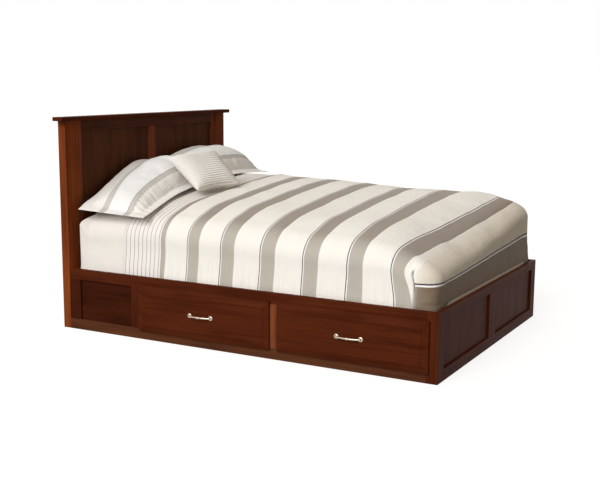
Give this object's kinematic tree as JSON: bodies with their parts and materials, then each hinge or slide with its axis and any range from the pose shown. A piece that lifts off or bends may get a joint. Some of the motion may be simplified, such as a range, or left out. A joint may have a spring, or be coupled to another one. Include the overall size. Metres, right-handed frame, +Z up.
{
  "type": "bed",
  "caption": "Queen size storage bed in dark stained wood with a panelled headboard, bevelled drawers on slides, striped comforter, shams and a small cushion",
  "frame": {"origin": "on the floor, in the middle of the bed's length and width", "axes": "+Z up, +Y towards the headboard, X across the bed; -X is on the left of someone who faces the headboard from the foot"},
  "size_m": [1.695, 2.225, 1.172],
  "materials": {
    "stained_wood": "satin stain and lacquer",
    "inner_wood": "clear lacquer",
    "nickel": "satin nickel plate",
    "slide_steel": "zinc plate",
    "bolt_steel": "zinc plate",
    "sheet": "woven cotton",
    "bedding": "woven cotton, quilted"
  },
  "bodies": {
    "bed_frame": {"accent_cushion": "bedding", "bed_bolts": "bolt_steel", "blanket": "bedding", "comforter": "bedding", "corner_post_left": "stained_wood", "corner_post_right": "stained_wood", "footboard_bottom_rail": "stained_wood", "footboard_centre_stile": "stained_wood", "footboard_panel_left": "stained_wood", "footboard_panel_right": "stained_wood", "footboard_top_rail": "stained_wood", "headboard_bottom_rail": "stained_wood", "headboard_cap": "stained_wood", "headboard_centre_stile": "stained_wood", "headboard_panel_left": "stained_wood", "headboard_panel_right": "stained_wood", "headboard_post_left": "stained_wood", "headboard_post_right": "stained_wood", "headboard_side_stiles": "stained_wood", "headboard_top_rail": "stained_wood", "mattress": "sheet", "mattress_deck": "inner_wood", "partition_foot": "inner_wood", "partition_head": "inner_wood", "partition_middle": "inner_wood", "sham_left": "bedding", "sham_right": "bedding", "side_left_bottom_rail": "stained_wood", "side_left_divider_stile": "stained_wood", "side_left_head_stile": "stained_wood", "side_left_panel": "stained_wood", "side_left_panel_stile": "stained_wood", "side_left_top_rail": "stained_wood", "side_right_bottom_rail": "stained_wood", "side_right_divider_stile": "stained_wood", "side_right_head_stile": "stained_wood", "side_right_panel": "stained_wood", "side_right_panel_stile": "stained_wood", "side_right_top_rail": "stained_wood", "slide_outer_members": "slide_steel"},
    "drawer_left_head": {"drawer_front_left_head": "stained_wood", "drawer_box_left_head": "inner_wood", "drawer_pull_left_head": "nickel", "slide_inner_left_head": "slide_steel"},
    "slide_left_head": {"slide_middle_left_head": "slide_steel"},
    "drawer_left_foot": {"drawer_front_left_foot": "stained_wood", "drawer_box_left_foot": "inner_wood", "drawer_pull_left_foot": "nickel", "slide_inner_left_foot": "slide_steel"},
    "slide_left_foot": {"slide_middle_left_foot": "slide_steel"},
    "drawer_right_head": {"drawer_front_right_head": "stained_wood", "drawer_box_right_head": "inner_wood", "drawer_pull_right_head": "nickel", "slide_inner_right_head": "slide_steel"},
    "slide_right_head": {"slide_middle_right_head": "slide_steel"},
    "drawer_right_foot": {"drawer_front_right_foot": "stained_wood", "drawer_box_right_foot": "inner_wood", "drawer_pull_right_foot": "nickel", "slide_inner_right_foot": "slide_steel"},
    "slide_right_foot": {"slide_middle_right_foot": "slide_steel"}
  },
  "joints": [
    {"name": "drawer_left_head_pull_out", "type": "slide", "parent": "bed_frame", "child": "drawer_left_head", "axis": [-1, 0, 0], "range_m": [0, 0.5]},
    {"name": "slide_left_head_travel", "type": "slide", "parent": "bed_frame", "child": "slide_left_head", "axis": [-1, 0, 0], "range_m": [0, 0.25]},
    {"name": "drawer_left_foot_pull_out", "type": "slide", "parent": "bed_frame", "child": "drawer_left_foot", "axis": [-1, 0, 0], "range_m": [0, 0.5]},
    {"name": "slide_left_foot_travel", "type": "slide", "parent": "bed_frame", "child": "slide_left_foot", "axis": [-1, 0, 0], "range_m": [0, 0.25]},
    {"name": "drawer_right_head_pull_out", "type": "slide", "parent": "bed_frame", "child": "drawer_right_head", "axis": [1, 0, 0], "range_m": [0, 0.5]},
    {"name": "slide_right_head_travel", "type": "slide", "parent": "bed_frame", "child": "slide_right_head", "axis": [1, 0, 0], "range_m": [0, 0.25]},
    {"name": "drawer_right_foot_pull_out", "type": "slide", "parent": "bed_frame", "child": "drawer_right_foot", "axis": [1, 0, 0], "range_m": [0, 0.5]},
    {"name": "slide_right_foot_travel", "type": "slide", "parent": "bed_frame", "child": "slide_right_foot", "axis": [1, 0, 0], "range_m": [0, 0.25]}
  ],
  "couplings": [
    {"joint": "slide_left_head_travel", "follows": "drawer_left_head_pull_out", "ratio": 0.5},
    {"joint": "slide_left_foot_travel", "follows": "drawer_left_foot_pull_out", "ratio": 0.5},
    {"joint": "slide_right_head_travel", "follows": "drawer_right_head_pull_out", "ratio": 0.5},
    {"joint": "slide_right_foot_travel", "follows": "drawer_right_foot_pull_out", "ratio": 0.5}
  ]
}
